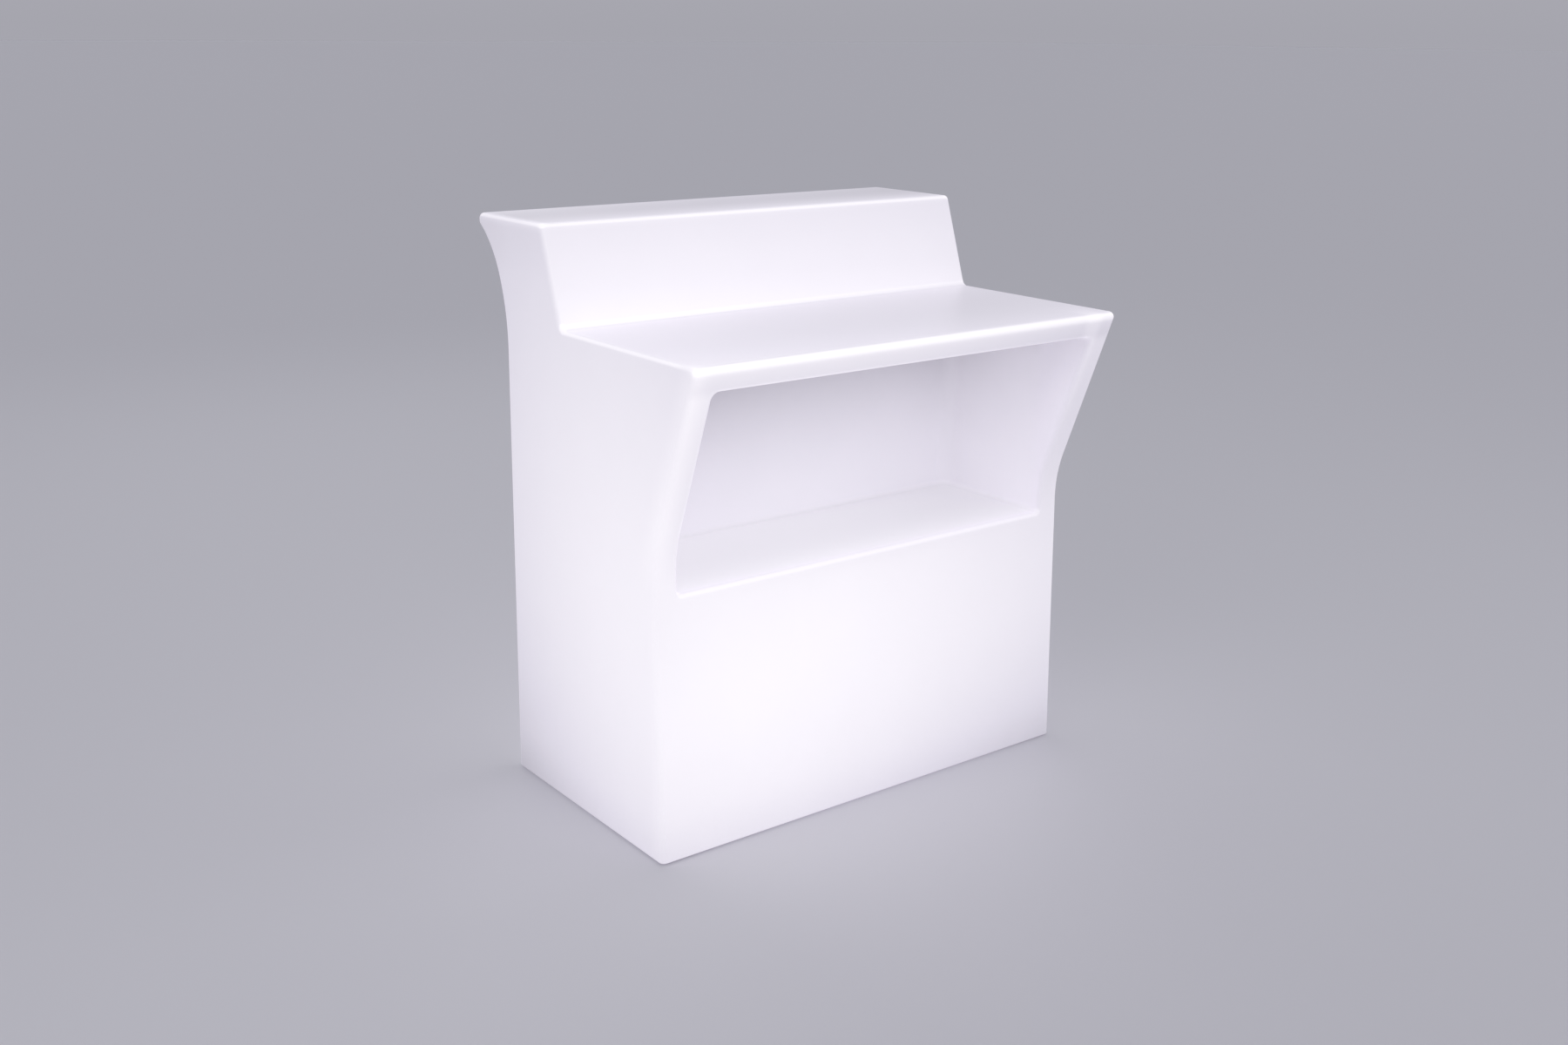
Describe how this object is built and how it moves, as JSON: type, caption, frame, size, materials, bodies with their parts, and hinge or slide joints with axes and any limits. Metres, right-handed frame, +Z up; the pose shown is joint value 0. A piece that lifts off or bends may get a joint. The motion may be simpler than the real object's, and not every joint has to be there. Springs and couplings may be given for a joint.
{
  "type": "illuminated bar counter",
  "caption": "Glowing white moulded bar counter with a worktop, open shelf niche, raised guest counter and flared guest side, lit by a rechargeable lamp in its base.",
  "frame": {"origin": "on the floor, under the middle of the overall box", "axes": "+Z up, +X along the counter, +Y towards the guests; the open niche faces -Y"},
  "size_m": [0.977, 0.715, 1.1],
  "materials": {
    "shell_polyethylene": "translucent white polyethylene, satin, glowing",
    "brass": "turned, knurled",
    "black_nylon": "moulded, fine grain",
    "black_rubber": "matt",
    "zinc_steel": "bright zinc plate",
    "cover_plastic": "moulded, light grey, fine grain",
    "seal_foam": "closed cells, matt",
    "kit_plastic": "moulded, white",
    "cell_wrap": "shrunk film",
    "circuit_board": "lacquered board",
    "light_board": "white lacquered board",
    "light_chip": "phosphor window",
    "component_black": "moulded",
    "aluminium": "extruded and turned, plain",
    "frosted_diffuser": "frosted, translucent",
    "clear_lens": "clear, tinted",
    "silicone": "grey, soft",
    "lead_insulation": "soft, smooth",
    "button_plastic": "moulded, satin",
    "spring_steel": "drawn wire"
  },
  "bodies": {
    "counter": {"body_shell": "shell_polyethylene", "foot_inserts": "brass", "cover_inserts": "brass", "vent_plug": "black_nylon", "foot_locknuts": "zinc_steel", "base_cover": "cover_plastic", "cover_gasket": "seal_foam", "cover_screws": "zinc_steel", "cover_washers": "zinc_steel", "kit_housing": "kit_plastic", "housing_seal": "silicone", "housing_screws": "zinc_steel", "battery_tray": "kit_plastic", "battery_clamp": "zinc_steel", "clamp_screws": "zinc_steel", "battery_cells": "cell_wrap", "control_board": "circuit_board", "board_pillars": "black_nylon", "board_screws": "zinc_steel", "board_components": "component_black", "remote_receiver": "component_black", "lamp_base": "aluminium", "lamp_core": "aluminium", "core_cap": "black_nylon", "led_boards": "light_board", "led_chips": "light_chip", "terminal_bar": "component_black", "lamp_grommet": "black_rubber", "lamp_diffuser": "frosted_diffuser", "diffuser_seal": "silicone", "diffuser_ring": "kit_plastic", "ring_screws": "zinc_steel", "charge_socket": "button_plastic", "charge_socket_nut": "zinc_steel", "cap_hinge_pin": "zinc_steel", "button_housing": "zinc_steel", "button_nut": "zinc_steel", "button_spring": "spring_steel", "status_lens": "clear_lens", "battery_lead": "lead_insulation", "charge_lead": "lead_insulation", "button_lead": "lead_insulation", "lamp_lead": "lead_insulation"},
    "foot_front_left": {"foot_base_front_left": "black_nylon", "foot_stud_front_left": "zinc_steel", "foot_sole_front_left": "black_rubber"},
    "foot_front_right": {"foot_base_front_right": "black_nylon", "foot_stud_front_right": "zinc_steel", "foot_sole_front_right": "black_rubber"},
    "foot_rear_left": {"foot_base_rear_left": "black_nylon", "foot_stud_rear_left": "zinc_steel", "foot_sole_rear_left": "black_rubber"},
    "foot_rear_right": {"foot_base_rear_right": "black_nylon", "foot_stud_rear_right": "zinc_steel", "foot_sole_rear_right": "black_rubber"},
    "power_button": {"power_button": "button_plastic"},
    "charge_cap": {"charge_cap": "black_rubber"}
  },
  "joints": [
    {"name": "front_left_foot_level", "type": "slide", "parent": "counter", "child": "foot_front_left", "axis": [0, 0, -1], "range_m": [0, 0.012]},
    {"name": "front_right_foot_level", "type": "slide", "parent": "counter", "child": "foot_front_right", "axis": [0, 0, -1], "range_m": [0, 0.012]},
    {"name": "rear_left_foot_level", "type": "slide", "parent": "counter", "child": "foot_rear_left", "axis": [0, 0, -1], "range_m": [0, 0.012]},
    {"name": "rear_right_foot_level", "type": "slide", "parent": "counter", "child": "foot_rear_right", "axis": [0, 0, -1], "range_m": [0, 0.012]},
    {"name": "power_button_press", "type": "slide", "parent": "counter", "child": "power_button", "axis": [0, 0, 1], "range_m": [0, 0.0018], "stiffness_N_per_m": 400, "springref_m": -0.003, "deforming": ["button_spring"]},
    {"name": "charge_cap_swing", "type": "hinge", "parent": "counter", "child": "charge_cap", "pos_m": [-0.036, -0.04275, 0.0071], "axis": [0, 1, 0], "range_deg": [0, 100]}
  ]
}
